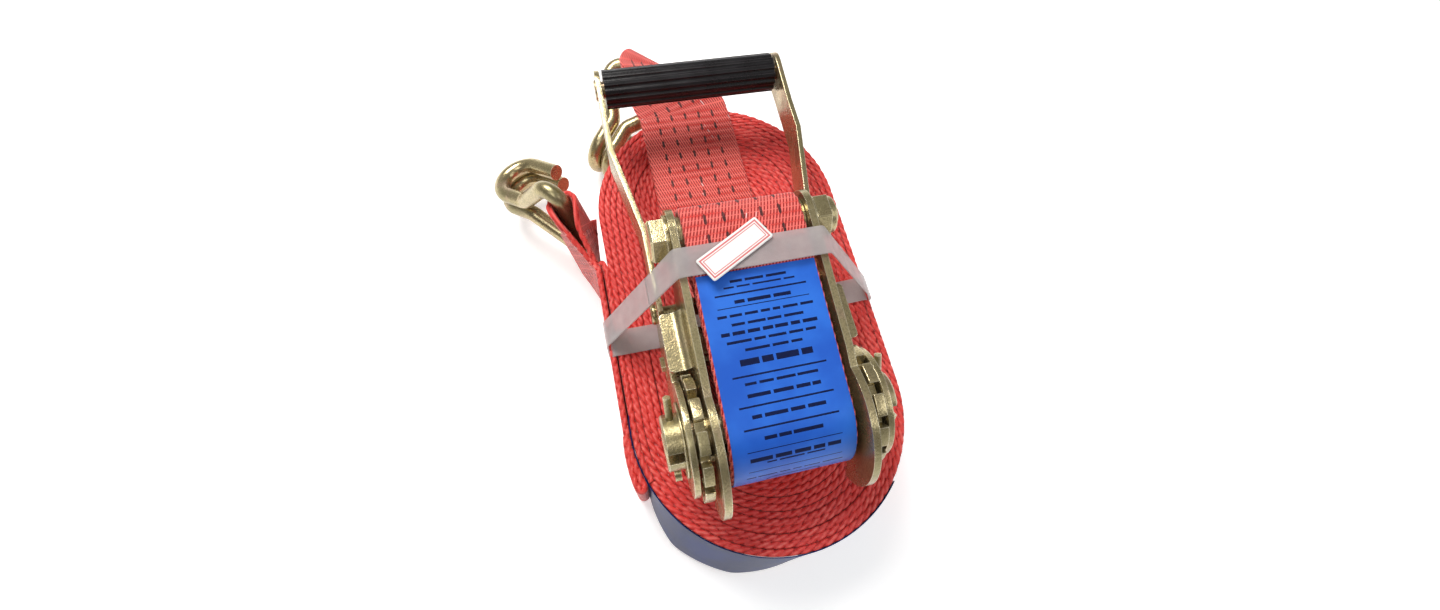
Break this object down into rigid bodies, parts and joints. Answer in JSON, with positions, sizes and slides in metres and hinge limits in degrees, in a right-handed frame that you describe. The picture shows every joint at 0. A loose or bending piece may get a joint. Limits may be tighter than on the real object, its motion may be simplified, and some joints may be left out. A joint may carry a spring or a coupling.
{
  "type": "ratchet tie down",
  "caption": "Ratchet tie down folded shut on its coil of webbing, with a fixed short strap, a long strap and double J hooks.",
  "frame": {"origin": "centre of the mandrel's axis, midway between the side plates", "axes": "+X along the mandrel, +Y from the mandrel to the hand grip, +Z away from the coil"},
  "size_m": [0.1809, 0.2872, 0.1168],
  "materials": {
    "zinc_steel": "yellow zinc plated, slightly speckled",
    "spring_steel": "plain spring wire",
    "grip_plastic": "semi-gloss black, fluted",
    "red_webbing": "woven polyester webbing with black marker threads",
    "label_blue": "smooth woven label, satin",
    "clear_band": "milky embossed polypropylene",
    "tag_paper": "paper sticker with a red border"
  },
  "bodies": {
    "root": {"long_strap_coil": "red_webbing", "long_strap_tail": "red_webbing", "long_strap_label": "label_blue", "tie_band": "clear_band", "short_strap": "red_webbing", "strap_label": "label_blue", "handle_plate_left": "zinc_steel", "handle_plate_right": "zinc_steel", "handle_grip": "grip_plastic", "grip_rod": "zinc_steel", "handle_spacer_rod": "zinc_steel", "handle_pawl_spring": "spring_steel"},
    "frame": {"frame_plate_left": "zinc_steel", "frame_plate_right": "zinc_steel", "frame_spacer": "zinc_steel", "anchor_bolt": "zinc_steel", "lock_nut": "zinc_steel", "bolt_washers": "zinc_steel", "bolt_sleeve": "zinc_steel", "frame_pawl_spring": "spring_steel", "paper_tag": "tag_paper"},
    "mandrel": {"mandrel_half_upper": "zinc_steel", "mandrel_half_lower": "zinc_steel", "ratchet_wheel_left": "zinc_steel", "ratchet_wheel_right": "zinc_steel", "mandrel_washers": "zinc_steel", "cotter_pins": "zinc_steel"},
    "frame_pawl": {"frame_pawl": "zinc_steel"},
    "handle_pawl": {"handle_pawl": "zinc_steel"},
    "long_hook": {"long_strap_hook": "zinc_steel"},
    "short_hook": {"short_strap_hook": "zinc_steel"}
  },
  "joints": [
    {"name": "frame_swing", "type": "hinge", "parent": "root", "child": "frame", "pos_m": [0, 0, 0], "axis": [1, 0, 0], "range_deg": [0, 178], "deforming": ["short_strap", "strap_label", "tie_band"]},
    {"name": "mandrel_spin", "type": "hinge", "parent": "root", "child": "mandrel", "pos_m": [0, 0, 0], "axis": [1, 0, 0], "continuous": true},
    {"name": "handle_pawl_slide", "type": "slide", "parent": "root", "child": "handle_pawl", "axis": [0, 0.866, -0.5], "range_m": [-0.0055, 0.0025], "stiffness_N_per_m": 400, "springref_m": -0.0055, "deforming": ["handle_pawl_spring"]},
    {"name": "frame_pawl_slide", "type": "slide", "parent": "frame", "child": "frame_pawl", "axis": [0, 1, 0], "range_m": [-0.0055, 0.0025], "stiffness_N_per_m": 400, "springref_m": -0.0055, "deforming": ["frame_pawl_spring"]},
    {"name": "long_hook_swing", "type": "hinge", "parent": "root", "child": "long_hook", "pos_m": [-0.0695, 0.128, -0.042], "axis": [0.2399, -0.2799, -0.9296], "range_deg": [-30, 15]},
    {"name": "short_hook_swing", "type": "hinge", "parent": "root", "child": "short_hook", "pos_m": [-0.0134, 0.2186, -0.0426], "axis": [0.744, -0.668, -0.019], "range_deg": [-3, 30]}
  ]
}
